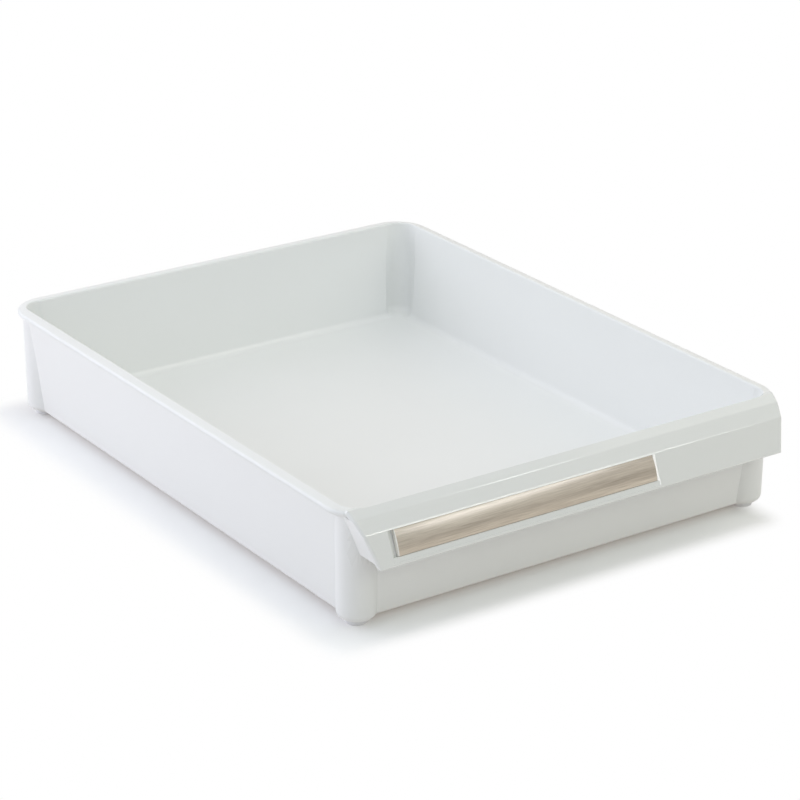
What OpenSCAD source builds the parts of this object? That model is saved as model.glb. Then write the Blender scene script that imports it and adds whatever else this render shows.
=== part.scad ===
// Stackable drawer box: one shallow moulded tray with drafted walls, corner posts, a flat
// rim and a fold-over pull lip, a wooden handle insert set in the lip, and four soft feet.
// Millimetres. The origin is the centre of the footprint at table level, the pull lip
// faces -Y and +Z is up.

/* [Tray] */
// Width over the rim, left to right
rim_w = 260; // [200:1:360]
// Depth over the rim, front to back, without the pull lip
rim_d = 332; // [240:1:440]
// Height of the rim above the table
rim_h = 60.6; // [54:0.1:110]
// Thickness of the upright walls
wall_t = 2.2; // [1.8:0.1:3]
// Thickness of the floor
floor_t = 2; // [1.5:0.1:3]
// Lean of the walls from vertical, in degrees
wall_lean = 5.2; // [3:0.1:6.5]
// Height of the tray's underside above the table
base_h = 3.8; // [3.2:0.1:5]
// Round where the walls meet the floor inside
floor_r = 3.5; // [1:0.1:4.5]
// Round of the tray's lower outside edge
base_r = 2; // [0.5:0.1:3]
// Radius of the tray's outside corners, just under the rim
shell_corner_r = 14.8; // [13:0.1:18]
// Radius of the tray's inside corners, at the rim
inner_corner_r = 9; // [8:0.1:11]
// Lean of the inside corners from vertical, in degrees
inner_corner_lean = 1.4; // [0.5:0.1:2]
// Round where the inside corners meet the floor
inner_corner_floor_r = 4.5; // [2:0.1:5]
// How far the floor of the inside corners lies above the rest of the floor
inner_corner_rise = 0.4; // [0.3:0.1:0.6]
// How far the inside corners reach out past the walls, at the rim's top
inner_corner_out = 0.1; // [0.1:0.05:0.4]

/* [Rim] */
// Thickness of the rim's outer edge, which is a full round
rim_t = 3; // [2.4:0.1:4]
// How far the rim's top falls toward its outer edge
rim_fall = 0.6; // [0.2:0.1:0.8]
// Width of the sloping part of the rim's top
rim_fall_w = 3.1; // [2.4:0.1:3.2]
// How far the rim stands out beyond the side walls
rim_out_side = 4.1; // [3:0.1:6]
// How far the rim stands out beyond the front and back walls
rim_out_end = 5.3; // [4:0.1:7]
// Radius of the rim's outer corners
rim_corner_r = 19.5; // [16:0.1:24]
// Round of the rim's inner edge
rim_edge_r = 1.1; // [0.9:0.1:1.4]

/* [Corner posts] */
// Radius of the posts, just under the rim
post_r = 10; // [9:0.1:11]
// How far the posts stand proud of the walls, just under the rim
post_proud = 0.2; // [0.1:0.1:0.6]
// Lean of the posts' sides from vertical, in degrees
post_lean = 0.5; // [0.2:0.1:1]
// Round of the posts' lower ends
post_end_r = 4; // [2:0.1:4.4]

/* [Pull lip] */
// Thickness of the lip and of the cheeks at its ends
lip_t = 2.2; // [1.8:0.1:2.6]
// From the front line of the rim back to where the lip starts to fall
lip_start = 7.8; // [7:0.1:8.4]
// Slope of the first fall, in degrees
fall1_angle = 32; // [28:1:36]
// Height of the first fall
fall1_drop = 3.25; // [2.8:0.05:3.8]
// Slope of the second fall, in degrees
fall2_angle = 47.5; // [43:0.5:52]
// Height of the second fall
fall2_drop = 5.8; // [5:0.1:7]
// Slope of the face, in degrees
face_angle = 67.5; // [62:0.5:74]
// Radius of the bend where the lip starts to fall
start_bend_r = 2; // [1:0.1:3]
// Radius of the bend between the two falls
fall_bend_r = 5; // [3:0.1:8]
// Radius of the crease above the face
crease_r = 2.2; // [1:0.1:3]
// From the side of the rim in to the lip's end, at the rim's top
lip_inset = 3; // [2.4:0.1:3.6]
// Lean of the lip's ends from vertical, in degrees
lip_end_lean = 17; // [14:0.5:20]
// Round of the edges at the lip's ends
lip_end_r = 1.6; // [1:0.1:2]
// Radius of the lip's two lower corners
lip_tip_r = 2.5; // [1:0.1:4]
// From the lip's lower edge up to the lower edges of its cheeks
cheek_rise = 3.1; // [1.5:0.1:6]

/* [Handle insert] */
// Width of the insert
insert_w = 148.3; // [80:0.1:156]
// Height of the insert, along the face
insert_h = 12.3; // [9:0.1:13]
// Thickness of the insert at its edges, which lie flush with the face
insert_edge_t = 1.65; // [1.4:0.05:2.2]
// Rise of the insert's crown above its edges
insert_crown = 0.7; // [0.3:0.05:1.2]
// Round of the insert's upper edge
insert_upper_r = 1.2; // [0.5:0.1:1.3]
// Round of the insert's lower edge
insert_lower_r = 0.6; // [0.3:0.1:1]
// Sideways place of the insert's middle
insert_x = -33.6; // [-36:0.1:36]
// Gap between the insert and the pocket, at each side
pocket_side_gap = 1.35; // [0.3:0.05:2]
// From the crease down to the pocket
pocket_drop = 0.45; // [0.4:0.05:0.8]
// Gap between the insert and the pocket, above it
pocket_upper_gap = 0.2; // [0.15:0.05:0.5]
// Gap between the insert and the pocket, below it
pocket_lower_gap = 2.5; // [0.5:0.1:2.6]
// Height of the strip of face under the pocket, above the lip's rounded edge
pocket_rim = 0.55; // [0.4:0.05:4]
// Thickness of the wall behind the pocket
pocket_back_t = 2; // [1.5:0.1:2.4]
// From each end of the insert in to the adhesive tape behind it
tape_end_inset = 4.15; // [1:0.05:20]
// From each long edge of the insert in to the adhesive tape
tape_edge_inset = 2.15; // [1:0.05:3]
// Thickness of the adhesive tape
tape_t = 0.35; // [0.2:0.05:0.5]

/* [Feet] */
// Radius of the foot pads
pad_r = 5.2; // [4:0.1:5.4]
// Height of the foot pads below the posts
pad_h = 2.6; // [1.6:0.1:3]
// Depth of the recess that seats each pad in its post
pad_seat = 0.6; // [0.3:0.1:1]
// Clearance round each pad in its recess
pad_gap = 0.1; // [0.05:0.05:0.3]
// Round of the pads' lower edges
pad_edge_r = 0.5; // [0.2:0.1:0.9]

/* [Hidden] */
$fn = 96;
over = 1;       // how far cutters run past the faces that they cut
overlap = 0.3;  // how far the pieces of one moulding run into each other
edge_bite = 0.1;    // how far the round of the rim's inner edge stands in from the wall
end_bite = 0.03;    // how far the rounds of the lip's ends stand out of the faces they join

// Heights
rim_base_h = rim_h - rim_fall - rim_t;
floor_h = base_h + floor_t;

// Outside of the walls, just under the rim
shell_x = rim_w / 2 - rim_out_side;
shell_y = rim_d / 2 - rim_out_end;
shell_axis = [shell_x - shell_corner_r, shell_y - shell_corner_r];

// Inside of the walls at the rim's top, and the axes of the inside corners
wall_run = wall_t / cos(wall_lean);     // wall thickness, measured level
rim_spread = (rim_h - rim_base_h) * tan(wall_lean);
inner_x = shell_x + rim_spread - wall_run;
inner_y = shell_y + rim_spread - wall_run;
corner_reach = inner_corner_out - inner_corner_r;
inner_axis = [inner_x + corner_reach, inner_y + corner_reach];

// Corner posts
post_axis = [shell_x + post_proud - post_r, shell_y + post_proud - post_r];

// Pocket and insert, measured down the face from the crease
insert_s = pocket_drop + pocket_upper_gap;
pocket_w = insert_w + 2 * pocket_side_gap;
pocket_h = insert_h + pocket_upper_gap + pocket_lower_gap;
pocket_depth = insert_edge_t + tape_t;
tape_w = insert_w - 2 * tape_end_inset;
tape_h = insert_h - 2 * tape_edge_inset;

// Length of the face, from the crease down to the lip's lower edge, a full round
tip_r = lip_t / 2;
face_len = pocket_drop + pocket_h + pocket_rim + tip_r;

// Profile of the pull lip in (y, z), outside
function along(angle) = [-cos(angle), -sin(angle)];     // down a slope
function outward(angle) = [-sin(angle), cos(angle)];    // square to a slope
lip_top = [-rim_d / 2 + lip_start, rim_h];
lip_bend = lip_top + along(fall1_angle) * fall1_drop / sin(fall1_angle);
crease = lip_bend + along(fall2_angle) * fall2_drop / sin(fall2_angle);
// ... and inside, lip_t under it
bend_half = (fall2_angle - fall1_angle) / 2;
crease_half = (face_angle - fall2_angle) / 2;
under_top = lip_top - outward(fall1_angle) * lip_t;
under_bend = lip_bend - outward(fall1_angle + bend_half) * lip_t / cos(bend_half);
under_crease = crease - outward(fall2_angle + crease_half) * lip_t / cos(crease_half);
// Full round of the lip's lower edge
tip = crease + along(face_angle) * (face_len - tip_r) - outward(face_angle) * tip_r;
tip_h = tip[1] - tip_r;
lip_reach = -rim_d / 2 - (tip[0] - tip_r);

// Ends of the pull lip, and the cheeks that close them
lip_back = under_top[0] + overlap;      // where the lip has merged into the rim
cheek_h = tip_h + cheek_rise;
cheek_back = -post_axis[1] - post_r * 0.36;

// The tray is centred on its rim, and the lip reaches out in front of it
centre_y = lip_reach / 2;

function unit(v) = v / norm(v);

// The sliver between a corner and the arc that rounds it. v is the corner, d1 and d2 are
// unit directions along its sides. The arc stands out of them by bite, so that it crosses
// them. Taken from a convex corner or added to a hollow one.
module sliver(v, d1, d2, r, bite = 0) {
    half = acos(d1 * d2) / 2;
    arc_start = (r - bite) / tan(half);
    centre = v + unit(d1 + d2) * (r - bite) / sin(half);
    difference() {
        polygon([v - unit(d1 + d2) * overlap, v + d1 * arc_start, centre, v + d2 * arc_start]);
        translate(centre) circle(r);
    }
}

// Sweeps a profile round a rounded rectangle. The profile is drawn in (distance out from
// the corner axis, height), and axis is where the corner axes stand.
module around(axis) {
    for (turn = [0 : 3]) {
        out = turn % 2 == 0 ? axis[0] : axis[1];
        half = turn % 2 == 0 ? axis[1] : axis[0];
        rotate(90 * turn) {
            translate([out, half, 0]) rotate([90, 0, 0]) linear_extrude(2 * half) children();
            translate([out, half, 0]) rotate_extrude(angle = 90) children();
        }
    }
}

// The block inside the corner axes, from low to high
module core(axis, low, high) {
    translate([-axis[0], -axis[1], low]) cube([2 * axis[0], 2 * axis[1], high - low]);
}

// Repeats a piece at the four corners
module at_corners(axis) {
    for (sx = [-1, 1], sy = [-1, 1])
        translate([sx * axis[0], sy * axis[1], 0]) children();
}

// Draws a (y, z) profile across the box, from x1 to x2
module across(x1, x2) {
    translate([x1, 0, 0]) rotate([90, 0, 90]) linear_extrude(x2 - x1) children();
}

// Outside of the walls, from the underside to the rim
module shell_profile() {
    foot_x = shell_corner_r - (rim_base_h - base_h) * tan(wall_lean);
    difference() {
        polygon([[0, base_h], [foot_x, base_h], [shell_corner_r, rim_base_h], [0, rim_base_h]]);
        sliver([foot_x, base_h], [-1, 0], [sin(wall_lean), cos(wall_lean)], base_r);
    }
}

module shell_solid() {
    around(shell_axis) shell_profile();
    core(shell_axis, base_h, rim_base_h);
}

// A post, from its pad up into the rim
module post() {
    top_h = rim_base_h + 2 * overlap;
    low_r = post_r - (top_h - pad_h) * tan(post_lean);
    rotate_extrude() difference() {
        polygon([[0, pad_h], [low_r, pad_h], [post_r, top_h], [0, top_h]]);
        sliver([low_r, pad_h], [-1, 0], [sin(post_lean), cos(post_lean)], post_end_r);
    }
}

// Section of the rim in (distance out from the corner axis, height): a flat top that falls
// to a full-round outer edge
module rim_section() {
    edge_r = rim_t / 2;
    edge = [rim_corner_r - edge_r, rim_base_h + edge_r];
    brow = [edge[0] - rim_fall_w, rim_h];
    rise = rim_h - edge[1];
    slope = acos(edge_r / norm(brow - edge)) - atan2(rim_fall_w, rise);
    polygon([
        [0, rim_base_h], [edge[0], rim_base_h],
        edge + [sin(slope), cos(slope)] * edge_r, brow, [0, rim_h]
    ]);
    translate(edge) circle(edge_r);
}

// The rim, up to where the pull lip starts to fall
module rim_solid() {
    axis = [rim_w / 2 - rim_corner_r, rim_d / 2 - rim_corner_r];
    intersection() {
        union() {
            around(axis) rim_section();
            core(axis, rim_base_h, rim_h);
        }
        translate([-rim_w / 2 - over, lip_top[0], 0])
            cube([rim_w + 2 * over, rim_d / 2 + over - lip_top[0], rim_h + over]);
    }
}

// Section through the pull lip: a sheet that falls, turns down and ends in a full round
module lip_section() {
    end_out = crease + along(face_angle) * (face_len - tip_r);
    end_in = end_out - outward(face_angle) * lip_t;
    difference() {
        polygon([
            [lip_back, rim_h], lip_top, lip_bend, crease, end_out,
            end_in, under_crease, under_bend, under_top, [lip_back, rim_base_h]
        ]);
        sliver(lip_top, [1, 0], along(fall1_angle), start_bend_r);
        sliver(lip_bend, -along(fall1_angle), along(fall2_angle), fall_bend_r);
        sliver(crease, -along(fall2_angle), along(face_angle), crease_r);
    }
    translate(tip) circle(tip_r);
}

// Front view of the pull lip in (x, z), brought in by inset on each side
module lip_front(inset) {
    low_h = tip_h - 0.05;
    top_x = rim_w / 2 - lip_inset - inset;
    low_x = top_x - (rim_h - low_h) * tan(lip_end_lean);
    up = [sin(lip_end_lean), cos(lip_end_lean)];
    difference() {
        polygon([[-low_x, low_h], [low_x, low_h], [top_x, rim_h], [-top_x, rim_h]]);
        if (inset == 0) {
            sliver([low_x, low_h], [-1, 0], up, lip_tip_r);
            sliver([-low_x, low_h], [1, 0], [-up[0], up[1]], lip_tip_r);
        }
    }
}

// Runs the lip's front view from in front of the lip back into the tray
module through_lip(inset) {
    front_y = tip[0] - tip_r - over;
    back_y = cheek_back + over;
    translate([0, back_y, 0]) rotate([90, 0, 0]) linear_extrude(back_y - front_y) lip_front(inset);
}

// Places a piece on a slope of the lip: x across, y up the slope from p, z out of it
module on_slope(p, angle) {
    translate([0, p[0], p[1]]) rotate([angle, 0, 0]) children();
}

// What the round takes off the right end of one slope of the lip
module end_round(p, angle) {
    end_x = rim_w / 2 - lip_inset - (rim_h - p[1]) * tan(lip_end_lean);
    turn = atan(sin(angle) * tan(lip_end_lean));    // of the edge, in the slope
    tilt = atan(cos(angle) * tan(lip_end_lean) * cos(turn));
    reach = face_len + over;
    on_slope(p, angle) translate([end_x, 0, 0]) rotate([90, 0, -turn])
        translate([0, 0, -reach]) linear_extrude(2 * reach)
            sliver([0, 0], [-1, 0], [-sin(tilt), -cos(tilt)], lip_end_r, end_bite);
}

module end_rounds() {
    end_round(lip_top, 0);
    end_round(lip_top, fall1_angle);
    end_round(lip_bend, fall2_angle);
    end_round(crease, face_angle);
}

module lip_solid() {
    difference() {
        lip_with_sharp_ends();
        end_rounds();
        mirror([1, 0, 0]) end_rounds();
    }
}

module lip_with_sharp_ends() {
    intersection() {
        across(-rim_w / 2, rim_w / 2) lip_section();
        through_lip(0);
    }
    // Cheeks, from inside the sheet back into the posts
    cheek_t = lip_t / cos(lip_end_lean);
    mid_crease = crease - outward(fall2_angle + crease_half) * tip_r;
    mid_bend = lip_bend - outward(fall1_angle + bend_half) * tip_r;
    face_run = (mid_crease[1] - cheek_h) / tan(face_angle);
    intersection() {
        across(-rim_w / 2, rim_w / 2) polygon([
            mid_crease, mid_bend, [cheek_back, rim_base_h + overlap],
            [cheek_back, cheek_h], [mid_crease[0] - face_run, cheek_h]
        ]);
        difference() {
            through_lip(0);
            through_lip(cheek_t);
        }
    }
}

module pocket_backing() {
    low = tip_r - face_len;
    on_slope(crease, face_angle)
        translate([insert_x - pocket_w / 2 - lip_t, low, -pocket_depth - pocket_back_t])
            cube([pocket_w + 2 * lip_t, -lip_t - low, pocket_back_t + overlap]);
}

module pocket_cut() {
    on_slope(crease, face_angle)
        translate([insert_x - pocket_w / 2, -pocket_drop - pocket_h, -pocket_depth])
            cube([pocket_w, pocket_h, pocket_depth + over]);
}

// Room inside the walls
module cavity() {
    low_x = inner_x - shell_axis[0] - (rim_h - floor_h) * tan(wall_lean);
    top_x = inner_x - shell_axis[0] + over * tan(wall_lean);
    around(shell_axis) difference() {
        polygon([[0, floor_h], [low_x, floor_h], [top_x, rim_h + over], [0, rim_h + over]]);
        sliver([low_x, floor_h], [-1, 0], [sin(wall_lean), cos(wall_lean)], floor_r);
    }
    core(shell_axis, floor_h, rim_h + over);
}

// Room inside one corner post
module corner_room() {
    low_h = floor_h + inner_corner_rise;
    top_h = rim_h + over;
    low_r = inner_corner_r - (rim_h - low_h) * tan(inner_corner_lean);
    top_r = inner_corner_r + over * tan(inner_corner_lean);
    up = [sin(inner_corner_lean), cos(inner_corner_lean)];
    rotate_extrude() difference() {
        polygon([[0, low_h], [low_r, low_h], [top_r, top_h], [0, top_h]]);
        sliver([low_r, low_h], [-1, 0], up, inner_corner_floor_r);
    }
}

// The room inside the rim, widening over the round of the rim's inner edge
module rim_room() {
    arc_x = inner_corner_r - inner_corner_out + rim_edge_r - edge_bite;
    arc_h = rim_h + edge_bite / 2 - rim_edge_r;
    around(inner_axis) difference() {
        translate([0, arc_h]) square([arc_x, rim_edge_r + over]);
        translate([arc_x, arc_h]) circle(rim_edge_r);
    }
    core(inner_axis, arc_h, rim_h + over);
}

module pad_recess() {
    translate([0, 0, pad_h - over]) cylinder(r = pad_r + pad_gap, h = pad_seat + over);
}

module tray_with_sharp_rim() {
    difference() {
        union() {
            shell_solid();
            rim_solid();
            at_corners(post_axis) post();
            lip_solid();
            pocket_backing();
        }
        cavity();
        at_corners(inner_axis) corner_room();
        at_corners(post_axis) pad_recess();
        pocket_cut();
    }
}

module tray() {
    color("whitesmoke") translate([0, centre_y, 0]) difference() {
        tray_with_sharp_rim();
        rim_room();
    }
}

// Section of the insert in (y up the face, z out of the face), centred on its height
module insert_section() {
    half = insert_h / 2;
    crown_r = (half * half + insert_crown * insert_crown) / (2 * insert_crown);
    edge_slope = asin(half / crown_r);
    difference() {
        intersection() {
            translate([-half, -insert_edge_t]) square([insert_h, insert_edge_t + insert_crown]);
            translate([0, insert_crown - crown_r]) circle(crown_r, $fn = 360);
        }
        sliver([half, 0], [0, -1], [-cos(edge_slope), sin(edge_slope)], insert_upper_r);
        sliver([-half, 0], [0, -1], [cos(edge_slope), sin(edge_slope)], insert_lower_r);
    }
}

module handle_insert() {
    color("tan") translate([0, centre_y, 0]) on_slope(crease, face_angle)
        translate([insert_x - insert_w / 2, -insert_s - insert_h / 2, 0])
            rotate([90, 0, 90]) linear_extrude(insert_w) insert_section();
}

module insert_tape() {
    color("gainsboro") translate([0, centre_y, 0]) on_slope(crease, face_angle)
        translate([insert_x - tape_w / 2, -insert_s - (insert_h + tape_h) / 2, -pocket_depth])
            cube([tape_w, tape_h, tape_t]);
}

// A soft pad, seated in the recess of its post. sx and sy pick the corner.
module foot(sx, sy) {
    top_h = pad_h + pad_seat;
    color("lightgray")
        translate([sx * post_axis[0], sy * post_axis[1] + centre_y, 0])
            rotate_extrude() difference() {
                square([pad_r, top_h]);
                sliver([pad_r, 0], [-1, 0], [0, 1], pad_edge_r);
            }
}

module foot_front_left() { foot(-1, -1); }
module foot_front_right() { foot(1, -1); }
module foot_back_left() { foot(-1, 1); }
module foot_back_right() { foot(1, 1); }

tray();
handle_insert();
insert_tape();
foot_front_left();
foot_front_right();
foot_back_left();
foot_back_right();
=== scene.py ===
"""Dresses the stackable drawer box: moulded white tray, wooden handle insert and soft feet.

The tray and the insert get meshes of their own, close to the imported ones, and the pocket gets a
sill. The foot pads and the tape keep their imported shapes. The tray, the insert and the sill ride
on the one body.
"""

import math

import bmesh
import bpy
from mathutils import Matrix, Vector


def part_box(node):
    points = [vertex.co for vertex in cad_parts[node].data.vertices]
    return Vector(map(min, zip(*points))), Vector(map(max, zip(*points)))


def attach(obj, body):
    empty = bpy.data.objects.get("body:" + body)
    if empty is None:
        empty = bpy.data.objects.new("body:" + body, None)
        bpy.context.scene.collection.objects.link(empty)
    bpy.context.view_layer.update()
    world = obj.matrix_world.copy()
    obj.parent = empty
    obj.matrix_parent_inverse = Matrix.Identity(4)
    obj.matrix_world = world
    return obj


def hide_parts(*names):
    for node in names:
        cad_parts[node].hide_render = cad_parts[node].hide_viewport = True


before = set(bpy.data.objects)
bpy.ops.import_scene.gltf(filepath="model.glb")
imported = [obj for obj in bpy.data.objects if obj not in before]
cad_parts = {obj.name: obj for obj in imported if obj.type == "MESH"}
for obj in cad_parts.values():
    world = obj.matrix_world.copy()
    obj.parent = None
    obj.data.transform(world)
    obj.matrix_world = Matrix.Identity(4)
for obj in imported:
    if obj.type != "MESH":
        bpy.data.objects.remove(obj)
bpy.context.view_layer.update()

MM = 0.001

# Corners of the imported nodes' boxes
tray_low, tray_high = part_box("tray")
insert_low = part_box("handle_insert")[0]


# ---------------------------------------------------------------- shapes, in mm and degrees

# The lip's face leans back. A place on it is given as (x, up, out): "up" goes along its slope and
# "out" is square to it
FACE_SLOPE = math.radians(67.5)
UP_THE_FACE = Vector((0, math.cos(FACE_SLOPE), math.sin(FACE_SLOPE)))
OUT_OF_FACE = Vector((0, -math.sin(FACE_SLOPE), math.cos(FACE_SLOPE)))
FACE_OUT = 171.479

# The pocket in the face: its floor, and where it begins and ends up the face
POCKET_FLOOR_OUT = 169.479
POCKET_UP = (-30.682, -15.682)
# Its two side edges: place, the way into the pocket, the edge's round, its slope and its depth
POCKET_SIDES = ((-109.1, 1, 0.5, 40, 1.9), (41.9, -1, 0.5, 35, 0.7))

# The underside between the corner posts: its packed height, how much lower it is shown, and what
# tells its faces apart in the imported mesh
BASE_LEVEL = 3.8
BASE_DROP = 0.9
BASE_LONG = 150                 # each is longer than this one way
BASE_ROUND = 2.2                # and rises less than this

# The corner posts' feet are eased where they face the underside
POST_LEVEL = 2.6                # their lowest level
POST_RISE = 2                   # their faces rise more than this above the underside
EASE_TOP = 6.2                  # the easing fades out between the underside and this height
EASE_SIDES = (-0.02, -0.22)     # it sets in between these cosines from the tray's outer corner

# The groove under the lip (y, z): the lip's inner lower edge, and the wall's top edge below it
GROOVE_EDGE = (-154.10, 57.78)
WALL_EDGE = (-154.03, 57.00)

# What counts as the same place
NEAR = 0.01
BASE_NEAR = 0.02
GROOVE_NEAR = 0.06
SQUARE_ON = 0.9999              # two directions agree when their product is more than this

# The part of the tray with the lip's smoother plastic, from the tray's front and top
LIP_DEPTH = 18
LIP_HEIGHT = 26

# The wood insert: a flat back and a crowned front, with a small round on each edge
INSERT_UP = (-28.182, -15.692)
INSERT_SIDES = (-108.30, 41.45)
INSERT_BACK = 169.829
INSERT_EDGE_OUT = 171.479
INSERT_CROWN = 0.70
INSERT_LOWER_ROUND = 0.45
INSERT_UPPER_ROUND = 0.08
INSERT_END_ROUND = 0.45

# The sill below the insert: it ends inside the pocket's sloped side edges
SILL_UP = (-30.682, -28.290)
SILL_SIDES = (-111.70, 42.62)
SILL_OUT = 171.250
SILL_BEVEL = 0.2
SILL_END_ROUND = 0.05

# Straight pieces that stand in for each curve
POCKET_STEPS = 6
CROWN_STEPS = 12
SMALL_ROUND_STEPS = 5
INSERT_END_STEPS = 4
SILL_END_STEPS = 1
SHARP_ANGLE = 30                # an edge that turns more than this stays sharp
CORNER_LIMIT = 0.5              # a section's corner moves in by no more than the amount over this


# ---------------------------------------------------------------- helpers

def in_metres(lengths):
    return tuple(length * MM for length in lengths)


def part_way(value, start, end):
    """How far the value is on its way from start to end, from 0 to 1."""
    return min(max((value - start) / (end - start), 0), 1)


def add_object(name, data):
    made = bpy.data.objects.new(name, data)
    bpy.context.scene.collection.objects.link(made)
    return made


# A Mix node's sockets, by number, when it mixes colours
MIX_FACTOR, MIX_FIRST, MIX_SECOND, MIX_RESULT = 0, 6, 7, 2

# The range that most of a noise lies in
NOISE_LOW, NOISE_HIGH = 0.3, 0.7


class Nodes:
    """Short hand for building the node tree of a material or of the world."""

    def __init__(self, owner, output):
        owner.use_nodes = True
        self.owner = owner
        self.tree = owner.node_tree
        self.tree.nodes.clear()
        self.out = self.tree.nodes.new(output)

    def feed(self, socket, value):
        """Sets the socket to the value, or links it where the value is another node's socket."""
        if isinstance(value, bpy.types.NodeSocket):
            self.tree.links.new(value, socket)
        else:
            socket.default_value = value

    def add(self, kind, sockets, **settings):
        """A new node with these settings, and with these values or links in its sockets."""
        node = self.tree.nodes.new(kind)
        for key, value in settings.items():
            setattr(node, key, value)
        for socket, value in sockets.items():
            self.feed(node.inputs[socket], value)
        return node

    def math(self, operation, first, second):
        return self.add("ShaderNodeMath", {0: first, 1: second}, operation=operation).outputs[0]

    def vector_math(self, operation, *vectors, result="Vector"):
        node = self.add("ShaderNodeVectorMath", dict(enumerate(vectors)), operation=operation)
        return node.outputs[result]

    def position(self, scale=(1, 1, 1)):
        """The place on the object, scaled along each axis."""
        place = self.add("ShaderNodeTexCoord", {})
        sockets = {"Vector": place.outputs["Object"], "Scale": scale}
        return self.add("ShaderNodeMapping", sockets).outputs["Vector"]

    def noise(self, vector, scale, detail, roughness=0.5):
        sockets = {"Vector": vector, "Scale": scale, "Detail": detail, "Roughness": roughness}
        return self.add("ShaderNodeTexNoise", sockets).outputs["Fac"]

    def ramp(self, factor, stops):
        """The colour that these stops (place, colour) give the factor."""
        node = self.add("ShaderNodeValToRGB", {"Fac": factor})
        ramp = node.color_ramp
        for place, _ in stops[len(ramp.elements):]:
            ramp.elements.new(place)
        for element, (place, colour) in zip(ramp.elements, stops):
            element.position = place
            element.color = (*colour, 1)
        return node.outputs["Color"]

    def map_range(self, value, start, end, low, high, **settings):
        """Goes from low to high while the value goes from start to end."""
        sockets = {"From Min": start, "From Max": end, "To Min": low, "To Max": high}
        node = self.add("ShaderNodeMapRange", {"Value": value, **sockets}, **settings)
        return node.outputs["Result"]

    def spread(self, noise, low, high):
        """The noise, spread out from low to high."""
        return self.map_range(noise, NOISE_LOW, NOISE_HIGH, low, high)

    def smooth(self, value, start, end, low=0, high=1):
        """Goes gently from low to high while the value goes from start to end."""
        return self.map_range(value, start, end, low, high, interpolation_type="SMOOTHSTEP")

    def bump(self, height, strength, distance, normal=None):
        sockets = {"Height": height, "Strength": strength, "Distance": distance}
        if normal is not None:
            sockets["Normal"] = normal
        return self.add("ShaderNodeBump", sockets).outputs["Normal"]

    def diffuse(self, colour):
        return self.add("ShaderNodeBsdfDiffuse", {"Color": (*colour, 1)}).outputs[0]

    def emission(self, sockets):
        return self.add("ShaderNodeEmission", sockets).outputs[0]

    def add_shaders(self, first, second):
        return self.add("ShaderNodeAddShader", {0: first, 1: second}).outputs[0]

    def mix_shaders(self, factor, first, second):
        return self.add("ShaderNodeMixShader", {"Fac": factor, 1: first, 2: second}).outputs[0]

    def surface(self, sockets):
        """Ends the material with a Principled shader that has this in its sockets."""
        shader = self.add("ShaderNodeBsdfPrincipled", {"IOR": SURFACE_IOR, **sockets})
        self.feed(self.out.inputs["Surface"], shader.outputs["BSDF"])


def material_nodes(name):
    return Nodes(bpy.data.materials.new(name), "ShaderNodeOutputMaterial")


# ---------------------------------------------------------------- materials

SURFACE_IOR = 1.49
GRAIN_DEPTH = 0.02 * MM         # of the fine grain on plastic and rubber

TRAY_COLOURS = ((NOISE_LOW, (0.875, 0.885, 0.880)), (NOISE_HIGH, (0.885, 0.895, 0.890)))
RUBBER_COLOURS = ((NOISE_LOW, (0.76, 0.77, 0.79)), (NOISE_HIGH, (0.81, 0.82, 0.84)))
TAPE_COLOURS = ((NOISE_LOW, (0.62, 0.61, 0.58)), (NOISE_HIGH, (0.72, 0.71, 0.68)))

WOOD_COLOURS = (
    (0.36, (0.375, 0.306, 0.240)),
    (0.50, (0.486, 0.408, 0.328)),
    (0.66, (0.598, 0.518, 0.428)),
)
WOOD_BANDS = (22, 520, 520)     # how often the bands and the fibres change along x, y and z
WOOD_FIBRES = (80, 2600, 2600)
WOOD_PAINTED_FLOOR_LIGHT = 1.38               # painted floor light: how much paler the veneer is painted along its lower edge
WOOD_PAINTED_FLOOR_LIGHT_REACH = 6.5          # and how far up that painted light goes, in mm
WOOD_END_PAINTED_HIGHLIGHT = (0.94, 0.92, 0.87)   # painted highlight along its left end, where the rounded end catches the light
WOOD_END_HIGHLIGHT_REACH = (0.6, 0.3)     # where the painted highlight sets in, and where it is full, in mm


def moulded_plastic(name, rough_low, rough_high, grain):
    """White moulded plastic: an even colour with a faint drift, and a mould-texture grain."""
    n = material_nodes(name)
    place = n.position()
    drift = n.noise(place, scale=14, detail=2)
    rough = n.noise(place, scale=60, detail=3)
    swell = n.bump(n.noise(place, scale=9, detail=1), strength=0.25, distance=0.08 * MM)
    fine = n.noise(place, scale=2600, detail=2)
    n.surface({
        "Base Color": n.ramp(drift, TRAY_COLOURS),
        "Roughness": n.spread(rough, rough_low, rough_high),
        "Normal": n.bump(fine, strength=grain, distance=GRAIN_DEPTH, normal=swell),
    })
    return n.owner


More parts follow.
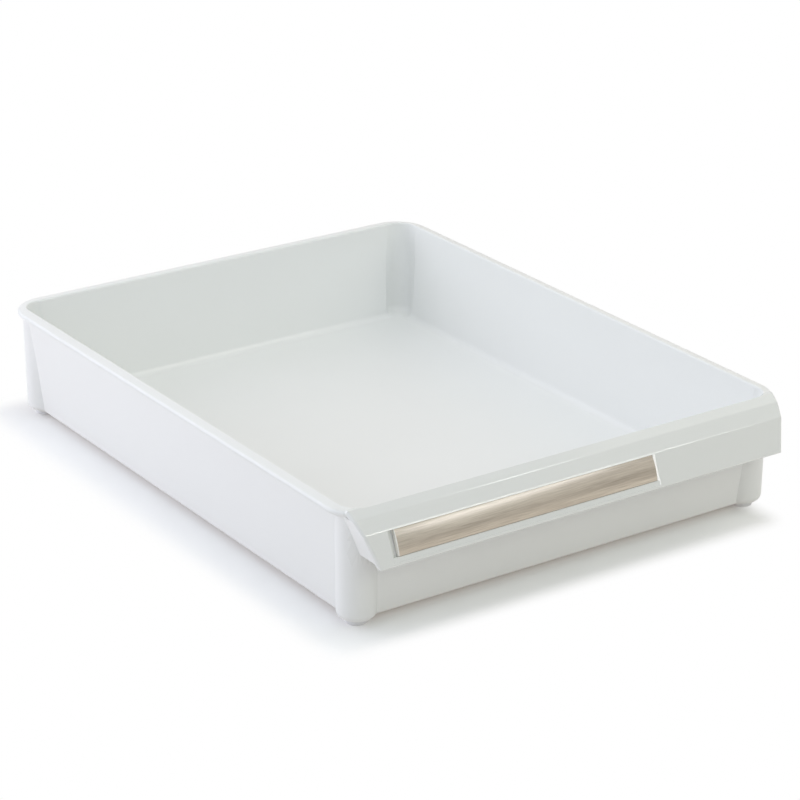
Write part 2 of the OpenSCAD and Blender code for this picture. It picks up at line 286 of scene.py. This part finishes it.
def pale_wood(name):
    """Grey-brown veneer with fine straight grain along its length, painted paler towards its lower
    edge (painted floor light) and at its left end (painted highlight).
    """
    n = material_nodes(name)
    bands = n.noise(n.position(WOOD_BANDS), scale=1, detail=3, roughness=0.6)
    fibres = n.noise(n.position(WOOD_FIBRES), scale=1, detail=3, roughness=0.6)
    grain = n.math("ADD", n.math("MULTIPLY", bands, 0.5), n.math("MULTIPLY", fibres, 0.5))
    place = n.add("ShaderNodeSeparateXYZ", {0: n.position()})
    # painted floor light: the veneer is painted paler towards its lower edge, for the light it gets
    # from the floor
    upper = insert_low.z + WOOD_PAINTED_FLOOR_LIGHT_REACH * MM
    painted_floor_light = n.smooth(place.outputs["Z"], upper, insert_low.z, 1, WOOD_PAINTED_FLOOR_LIGHT)
    sockets = {0: n.ramp(grain, WOOD_COLOURS), "Scale": painted_floor_light}
    grain_with_painted_light = n.add("ShaderNodeVectorMath", sockets, operation="SCALE").outputs[0]
    # painted highlight: the left end is painted near-white, for the light its rounded end catches
    begins, full = ((INSERT_SIDES[0] + reach) * MM for reach in WOOD_END_HIGHLIGHT_REACH)
    end = n.smooth(place.outputs["X"], begins, full)
    sockets = {MIX_FACTOR: end, MIX_FIRST: grain_with_painted_light, MIX_SECOND: (*WOOD_END_PAINTED_HIGHLIGHT, 1)}
    end_highlighted = n.add("ShaderNodeMix", sockets, data_type="RGBA").outputs[MIX_RESULT]
    n.surface({
        "Base Color": end_highlighted,
        "Roughness": 0.45,
        "Specular IOR Level": 0.8,
        "Coat Weight": 0.9,
        "Coat Roughness": 0.22,
        "Normal": n.bump(fibres, strength=0.35, distance=0.05 * MM),
    })
    return n.owner


def soft_rubber(name):
    """Cloudy soft plastic of the foot pads."""
    n = material_nodes(name)
    place = n.position()
    drift = n.noise(place, scale=240, detail=2)
    fine = n.noise(place, scale=3200, detail=2)
    n.surface({
        "Base Color": n.ramp(drift, RUBBER_COLOURS),
        "Roughness": n.spread(drift, 0.5, 0.62),
        "Normal": n.bump(fine, strength=0.3, distance=GRAIN_DEPTH),
    })
    return n.owner


def foam_tape(name):
    """Off-white adhesive film behind the insert."""
    n = material_nodes(name)
    clouds = n.noise(n.position(), scale=900, detail=3)
    n.surface({"Base Color": n.ramp(clouds, TAPE_COLOURS), "Roughness": 0.75})
    return n.owner


# ---------------------------------------------------------------- tray

def connected_parts(mesh):
    """The mesh's vertices in connected groups: one group for each face of the CAD solid."""
    parent = list(range(len(mesh.vertices)))

    def find(index):
        while parent[index] != index:
            parent[index] = parent[parent[index]]
            index = parent[index]
        return index

    for polygon in mesh.polygons:
        first = find(polygon.vertices[0])
        for other in polygon.vertices[1:]:
            parent[find(other)] = first
    groups = {}
    for index in range(len(parent)):
        groups.setdefault(find(index), []).append(index)
    return groups.values()


def on_face(x, up, out):
    """The place, in metres, of a point given on the lip's face."""
    return Vector((x, 0, 0)) + UP_THE_FACE * up + OUT_OF_FACE * out


def rough_place(point):
    """The point in whole steps, the same for vertices that share a place."""
    return tuple(round(value / (BASE_NEAR * MM)) for value in point)


def sloped_edge(round_radius, slope, depth):
    """Points (across, in) and leans of an edge that rounds over and then slopes to this depth."""
    profile = []
    for step in range(POCKET_STEPS + 1):
        turn = math.radians(slope * step / POCKET_STEPS)
        across = round_radius * math.sin(turn)
        sunk = round_radius * (1 - math.cos(turn))
        profile.append((across, sunk, turn))
    profile.append((across + (depth - sunk) / math.tan(turn), depth, turn))
    return profile


class ShownTray:
    """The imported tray's mesh with its own normals, changed where the photo shows it otherwise."""

    def __init__(self, source):
        self.source = source
        self.points = [vertex.co.copy() for vertex in source.vertices]
        self.faces = [tuple(polygon.vertices) for polygon in source.polygons]
        self.normals = [Vector(corner.vector) for corner in source.corner_normals]

    def lower_base(self):
        """The underside between the corner posts, as low as the photo shows it."""
        vertices = self.source.vertices
        base, near = BASE_LEVEL * MM, BASE_NEAR * MM
        lowered = set()
        for group in connected_parts(self.source):
            low = [min(vertices[index].co[axis] for index in group) for axis in range(3)]
            high = [max(vertices[index].co[axis] for index in group) for axis in range(3)]
            is_long = max(high[0] - low[0], high[1] - low[1]) > BASE_LONG * MM
            on_base = abs(low[2] - base) < near and high[2] < base + BASE_ROUND * MM
            on_post = abs(low[2] - POST_LEVEL * MM) < near and high[2] > base + POST_RISE * MM
            if on_base and is_long:
                lowered.update(rough_place(vertices[index].co) for index in group)
            elif on_post and not is_long:
                self.ease_post_foot(group, low, high)
        for index, vertex in enumerate(vertices):
            if rough_place(vertex.co) in lowered:
                self.points[index] = vertex.co - Vector((0, 0, BASE_DROP * MM))

    def ease_post_foot(self, group, low, high):
        """The part of a post's foot that faces the underside, flattened to keep below it."""
        middle = Vector(((low[0] + high[0]) / 2, (low[1] + high[1]) / 2))
        outer = Vector((math.copysign(1, middle.x), math.copysign(1, middle.y))).normalized()
        for index in group:
            point = self.source.vertices[index].co
            side = (Vector((point.x, point.y)) - middle).normalized().dot(outer)
            height = point.z / MM
            eased = part_way(side, *EASE_SIDES)
            eased *= part_way(height, POST_LEVEL, BASE_LEVEL)
            eased *= part_way(height, EASE_TOP, BASE_LEVEL)
            self.points[index] = point - Vector((0, 0, BASE_DROP * MM * eased))

    def close_groove(self):
        """The lip's inner lower edge brought down onto the wall's top, so that no groove shows."""
        y, z = in_metres(GROOVE_EDGE)
        wall_y, wall_z = in_metres(WALL_EDGE)
        near = GROOVE_NEAR * MM
        for index, vertex in enumerate(self.source.vertices):
            if abs(vertex.co.y - y) < near and abs(vertex.co.z - z) < near:
                self.points[index] = Vector((vertex.co.x, wall_y, wall_z))

    def pocket_vertices(self):
        """The vertices of the lip's face, and those of the pocket's side walls."""
        floor, top = POCKET_FLOOR_OUT * MM, FACE_OUT * MM
        face, walls = set(), set()
        for polygon in self.source.polygons:
            level = polygon.center.dot(OUT_OF_FACE)
            if polygon.normal.dot(OUT_OF_FACE) > SQUARE_ON and abs(level - top) < NEAR * MM:
                face.update(polygon.vertices)
            elif abs(polygon.normal.x) > SQUARE_ON and floor < level < top:
                walls.update(polygon.vertices)
        return face, walls

    def slope_pocket_side(self, rim, side, inward_x, round_radius, slope, depth):
        """One side edge of the pocket, rounded over and sloped. The rim is pocket_vertices()."""
        face, walls = rim
        low, high = in_metres(POCKET_UP)
        side, top, near = side * MM, FACE_OUT * MM, NEAR * MM
        profile = sloped_edge(round_radius * MM, slope, depth * MM)
        wide, deep, _ = profile[-1]
        for index in face | walls:
            point = self.source.vertices[index].co
            if abs(point.x - side) > near or abs(point.dot(OUT_OF_FACE) - top) > near:
                continue
            if index in face:
                self.points[index] = point - Vector((inward_x * wide, 0, 0))
            else:
                self.points[index] = point - OUT_OF_FACE * deep
        first = len(self.points)
        leans = []
        for across, sunk, turn in profile:
            x = side - inward_x * (wide - across)
            self.points += [on_face(x, low, top - sunk), on_face(x, high, top - sunk)]
            sideways = Vector((inward_x * math.sin(turn), 0, 0))
            leans.append(sideways + OUT_OF_FACE * math.cos(turn))
        corner = len(self.points)
        self.points += [on_face(side, low, top), on_face(side, high, top)]
        for step in range(len(profile) - 1):
            here = first + 2 * step
            this, following = leans[step], leans[step + 1]
            quad = [(here, this), (here + 2, following), (here + 3, following), (here + 1, this)]
            if inward_x < 0:
                quad.reverse()
            self.faces.append(tuple(index for index, _ in quad))
            self.normals += [lean for _, lean in quad]
        for end, facing in ((0, UP_THE_FACE), (1, -UP_THE_FACE)):
            cap = [first + 2 * step + end for step in range(len(profile))] + [corner + end]
            if (end == 0) == (inward_x > 0):
                cap.reverse()
            self.faces.append(tuple(cap))
            self.normals += [facing] * len(cap)

    def mesh(self, name):
        made = bpy.data.meshes.new(name)
        made.from_pydata(self.points, [], self.faces)
        made.polygons.foreach_set("use_smooth", [True] * len(self.faces))
        made.normals_split_custom_set(self.normals)
        return made


def add_tray():
    shown = ShownTray(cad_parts["tray"].data)
    shown.lower_base()
    shown.close_groove()
    rim = shown.pocket_vertices()
    for pocket_side in POCKET_SIDES:
        shown.slope_pocket_side(rim, *pocket_side)
    tray = add_object("tray_moulding", shown.mesh("tray_moulding"))
    tray.data.materials.append(moulded_plastic("tray_plastic", 0.30, 0.38, grain=0.10))
    tray.data.materials.append(moulded_plastic("lip_plastic", 0.10, 0.14, grain=0.02))
    lip_back = tray_low.y + LIP_DEPTH * MM
    lip_foot = tray_high.z - LIP_HEIGHT * MM
    for polygon in tray.data.polygons:
        centre = polygon.center
        polygon.material_index = 1 if centre.y < lip_back and centre.z > lip_foot else 0
    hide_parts("tray")
    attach(tray, "root")


# ---------------------------------------------------------------- insert, sill and small pieces

def arc(middle, radius, start, end, steps):
    """Points of an arc in the section, with angles from "out" (0) towards "up" (90)."""
    points = []
    for step in range(steps + 1):
        turn = math.radians(start + (end - start) * step / steps)
        points.append((middle[0] + radius * math.sin(turn), middle[1] + radius * math.cos(turn)))
    return points


def inward(section, amount):
    """The section with every point moved in by the amount, along its corner's own bisector."""
    moved = []
    for index, place in enumerate(section):
        before = Vector(section[index - 1])
        here = Vector(place)
        after = Vector(section[(index + 1) % len(section)])
        left = (here - before).normalized()
        right = (after - here).normalized()
        normal = Vector((left.y + right.y, -(left.x + right.x))).normalized()
        share = max(normal.dot(Vector((left.y, -left.x))), CORNER_LIMIT)
        moved.append(tuple(here + normal * (amount / share)))
    return moved


def shade_by_angle(mesh):
    """Faces turned outwards and smooth, with the edges sharp where the shape turns a corner."""
    bm = bmesh.new()
    bm.from_mesh(mesh)
    bmesh.ops.recalc_face_normals(bm, faces=bm.faces)
    for face in bm.faces:
        face.smooth = True
    for edge in bm.edges:
        edge.smooth = edge.calc_face_angle(math.pi) < math.radians(SHARP_ANGLE)
    bm.to_mesh(mesh)
    bm.free()


def bar_along_face(name, section, sides, end_round, steps):
    """A solid bar with this section, from side to side along x on the face, its ends rounded."""
    x_low, x_high = sides
    rounds = []
    for step in range(steps + 1):
        turn = math.radians(90 * step / steps)
        rounds.append((end_round * (1 - math.sin(turn)), end_round * (1 - math.cos(turn))))
    rings = [(x_low + along, amount) for along, amount in reversed(rounds)]
    rings += [(x_high - along, amount) for along, amount in rounds]
    points = []
    for x, amount in rings:
        points += [on_face(x, up, out) for up, out in inward(section, amount)]
    count = len(section)
    faces = []
    for here in range(0, len(points) - count, count):
        for index in range(count):
            following = (index + 1) % count
            nearer = (here + index, here + following)
            faces.append((*nearer, nearer[1] + count, nearer[0] + count))
    faces.append(tuple(reversed(range(count))))
    faces.append(tuple(range(len(points) - count, len(points))))
    mesh = bpy.data.meshes.new(name)
    mesh.from_pydata(points, [], faces)
    shade_by_angle(mesh)
    return add_object(name, mesh)


def insert_section():
    """The insert's section: points (up, out), from the back's lower corner round to its upper."""
    low, high = in_metres(INSERT_UP)
    back, edge, crown = in_metres((INSERT_BACK, INSERT_EDGE_OUT, INSERT_CROWN))
    half = (high - low) / 2
    radius = (half * half + crown * crown) / (2 * crown)
    middle = ((low + high) / 2, edge + crown - radius)
    lower, upper = in_metres((INSERT_LOWER_ROUND, INSERT_UPPER_ROUND))

    def edge_round(side, round_radius):
        """Middle of the small round at a long edge, and the turn where it meets the crown."""
        reach = half - round_radius
        drop = math.sqrt((radius - round_radius) ** 2 - reach * reach)
        turn = math.degrees(math.atan2(reach, drop))
        return (middle[0] + side * reach, middle[1] + drop), turn

    lower_middle, lower_turn = edge_round(-1, lower)
    upper_middle, upper_turn = edge_round(1, upper)
    section = [(low, back)]
    section += arc(lower_middle, lower, -90, -lower_turn, SMALL_ROUND_STEPS)
    section += arc(middle, radius, -lower_turn, upper_turn, CROWN_STEPS)[1:]
    section += arc(upper_middle, upper, upper_turn, 90, SMALL_ROUND_STEPS)[1:]
    section.append((high, back))
    return section


def add_insert():
    sides, end_round = in_metres(INSERT_SIDES), INSERT_END_ROUND * MM
    insert = bar_along_face("wood_insert", insert_section(), sides, end_round, INSERT_END_STEPS)
    insert.data.materials.append(pale_wood("insert_wood"))
    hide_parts("handle_insert")
    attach(insert, "root")


def add_sill():
    """The pocket's floor below the insert, as high as the photo shows it."""
    low, high = in_metres(SILL_UP)
    back, out, bevel = in_metres((POCKET_FLOOR_OUT, SILL_OUT, SILL_BEVEL))
    section = [(low, back), (low, out), (high - bevel, out), (high, out - bevel), (high, back)]
    sides, end_round = in_metres(SILL_SIDES), SILL_END_ROUND * MM
    sill = bar_along_face("pocket_sill", section, sides, end_round, SILL_END_STEPS)
    sill.data.materials.append(bpy.data.materials["lip_plastic"])
    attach(sill, "root")


def finish_small_nodes():
    """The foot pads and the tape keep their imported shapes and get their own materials."""
    rubber = soft_rubber("foot_rubber")
    tape = foam_tape("tape_foam")
    for name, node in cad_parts.items():
        if name.startswith("foot_"):
            node.data.materials.clear()
            node.data.materials.append(rubber)
        elif name == "insert_tape":
            node.data.materials.clear()
            node.data.materials.append(tape)


# ---------------------------------------------------------------- camera

# Where the camera stands and how it is turned, in metres and degrees, and its lens, in mm
CAMERA_PLACE = (-0.75453, -1.10489, 0.58459)
CAMERA_YAW = 34.641
CAMERA_PITCH = 22.413
CAMERA_ROLL = 0.233
CAMERA_LENS = 126.355
CAMERA_SENSOR = 36
CAMERA_REACH = (0.05, 50)


def add_camera():
    camera = add_object("camera", bpy.data.cameras.new("camera"))
    camera.data.sensor_width = CAMERA_SENSOR
    camera.data.lens = CAMERA_LENS
    camera.data.clip_start, camera.data.clip_end = CAMERA_REACH
    turn = (
        Matrix.Rotation(math.radians(-CAMERA_YAW), 4, "Z")
        @ Matrix.Rotation(math.radians(90 - CAMERA_PITCH), 4, "X")
        @ Matrix.Rotation(math.radians(CAMERA_ROLL), 4, "Z")
    )
    camera.matrix_world = Matrix.Translation(CAMERA_PLACE) @ turn
    bpy.context.scene.camera = camera


# ---------------------------------------------------------------- floor, in metres

FLOOR_HALF = 12
FLOOR_BOUNCE = (0.65, 0.65, 0.65)       # what the floor gives back to the object
FLOOR_GLOW = (0.166, 0.136, 0.118)
WHITE = (1, 1, 1)
SHADOW_CENTRE = (-0.013, 0.001, 0)      # a box, in which the floor keeps the object's shadow
SHADOW_HALF = (0.121, 0.164, 1)
SHADOW_FADE = 0.018                     # past it, the floor takes this far to burn out to white
FRONT_PAINTED_LIGHT = 0.10                       # painted light: a glow added to the floor's front part, under the lip
FRONT_PAINTED_LIGHT_REACH = (-0.145, -0.166)     # where that painted light sets in, and where it is full


def floor_seen(n, rays):
    """The floor as the camera and reflections see it: white, with the object's shadow, lightened in
    front by painted light.
    """
    place = n.add("ShaderNodeTexCoord", {}).outputs["Object"]
    offset = n.vector_math("SUBTRACT", place, SHADOW_CENTRE)
    past = n.vector_math("SUBTRACT", n.vector_math("ABSOLUTE", offset), SHADOW_HALF)
    outside = n.vector_math("MAXIMUM", past, (0, 0, 0))
    away = n.vector_math("LENGTH", outside, result="Value")
    fade = n.smooth(away, 0, SHADOW_FADE)
    front = n.add("ShaderNodeSeparateXYZ", {0: place}).outputs["Y"]
    # painted light: the floor's front part glows a little, to lighten the shadow under the lip
    painted_front_light = n.smooth(front, *FRONT_PAINTED_LIGHT_REACH, 0, FRONT_PAINTED_LIGHT)
    shaded = n.add_shaders(n.diffuse(WHITE), n.emission({"Strength": painted_front_light}))
    burnt_out = n.math("MULTIPLY", fade, rays["Is Camera Ray"])
    return n.mix_shaders(burnt_out, shaded, n.emission({"Color": (*WHITE, 1)}))


def add_floor():
    """A white floor that lights the object evenly. From below, the camera sees through it."""
    side = FLOOR_HALF
    corner_points = [(-side, -side, 0), (side, -side, 0), (side, side, 0), (-side, side, 0)]
    mesh = bpy.data.meshes.new("floor")
    mesh.from_pydata(corner_points, [], [(0, 1, 2, 3)])
    floor = add_object("floor", mesh)
    n = material_nodes("floor_white")
    rays = n.add("ShaderNodeLightPath", {}).outputs
    lit = n.add_shaders(n.diffuse(FLOOR_BOUNCE), n.emission({"Color": (*FLOOR_GLOW, 1)}))
    is_seen = n.math("MAXIMUM", rays["Is Camera Ray"], rays["Is Glossy Ray"])
    above = n.mix_shaders(is_seen, lit, floor_seen(n, rays))
    behind = n.add("ShaderNodeNewGeometry", {}).outputs["Backfacing"]
    from_below = n.math("MULTIPLY", behind, rays["Is Camera Ray"])
    through = n.add("ShaderNodeBsdfTransparent", {}).outputs[0]
    n.feed(n.out.inputs["Surface"], n.mix_shaders(from_below, above, through))
    mesh.materials.append(n.owner)


# ---------------------------------------------------------------- light

# The room: an even part, and broad soft areas of it (azimuth from the front, elevation, colour)
ROOM_EVEN = (0.365, 0.378, 0.379)
ROOM_SPREAD = 42
ROOM_AREAS = [
    (90, 10, (0.256, 0.252, 0.243)),
    (135, 10, (0.358, 0.336, 0.326)),
    (180, 10, (0.328, 0.320, 0.329)),
    (225, 10, (0.569, 0.579, 0.621)),
    (0, 36, (0.433, 0.474, 0.457)),
    (135, 36, (0.124, 0.072, 0.045)),
    (225, 36, (0.408, 0.420, 0.463)),
]

# Softboxes: place, what they face, width, height and colour
SOFTBOXES = [
    ((-0.55, 0.42, 0.30), (-0.13, 0.10, 0.03), 0.4, 0.4, (0.730, 0.707, 0.771)),
    ((-0.75, 0.00, 0.30), (-0.13, 0.00, 0.03), 0.4, 0.4, (0.350, 0.387, 0.479)),
    ((0.70, -0.10, 0.60), (0.00, 0.00, 0.03), 0.5, 0.5, (0.230, 0.215, 0.188)),
    ((0.30, -0.80, 0.45), (0.05, -0.17, 0.03), 0.4, 0.4, (0.277, 0.277, 0.215)),
    ((0.00, 0.00, 0.90), (0.00, 0.00, 0.03), 0.5, 0.5, (0.638, 0.642, 0.630)),
]

# Small lights that only reflections show: they draw the highlights on the lip's bends, on the
# insert's crown and on the pocket's right edge. They have a gain as well
STRIPS = [
    ((0.467, -0.856, 0.580), (-0.09, -0.165, 0.05), 0.49, 0.15, (1.00, 0.97, 0.93), 14),
    ((0.444, -0.403, 0.734), (-0.09, -0.165, 0.05), 0.09, 0.06, (1.00, 1.00, 0.97), 12),
    ((-0.507, -0.971, 0.284), (0.042, -0.165, 0.055), 0.20, 0.20, (1.00, 0.99, 0.98), 11),
]


def towards(azimuth, elevation):
    turn, rise = math.radians(azimuth), math.radians(elevation)
    level = math.cos(rise)
    return Vector((level * math.sin(turn), -level * math.cos(turn), math.sin(rise)))


def add_room():
    world = bpy.data.worlds.new("room")
    bpy.context.scene.world = world
    n = Nodes(world, "ShaderNodeOutputWorld")
    place = n.add("ShaderNodeTexCoord", {}).outputs["Generated"]
    rim = math.cos(math.radians(ROOM_SPREAD))
    total = ROOM_EVEN
    for azimuth, elevation, colour in ROOM_AREAS:
        middle = towards(azimuth, elevation)
        along = n.vector_math("DOT_PRODUCT", place, middle, result="Value")
        total = n.vector_math("MULTIPLY_ADD", n.smooth(along, rim, 1), colour, total)
    background = n.add("ShaderNodeBackground", {"Color": total})
    n.feed(n.out.inputs["Surface"], background.outputs[0])


def add_softbox(name, place, faces, width, height, colour):
    """A soft light that gives what it faces the same light from any distance."""
    light = bpy.data.lights.new(name, "AREA")
    light.shape = "RECTANGLE"
    light.size = width
    light.size_y = height
    light.color = colour
    away = Vector(place) - Vector(faces)
    light.energy = math.pi * away.length_squared
    lamp = add_object(name, light)
    lamp.location = place
    lamp.rotation_euler = (-away).to_track_quat("-Z", "Y").to_euler()
    lamp.visible_camera = False
    return lamp


def add_lights():
    for number, softbox in enumerate(SOFTBOXES, 1):
        add_softbox(f"softbox_{number}", *softbox)
    for number, (place, faces, width, height, colour, gain) in enumerate(STRIPS, 1):
        strip = add_softbox(f"strip_{number}", place, faces, width, height, colour)
        strip.data.energy = math.pi * width * height * gain
        strip.visible_diffuse = False


# ---------------------------------------------------------------- the scene

bpy.context.scene.view_settings.view_transform = "Standard"
add_camera()
add_floor()
add_room()
add_lights()
add_tray()
add_insert()
add_sill()
finish_small_nodes()
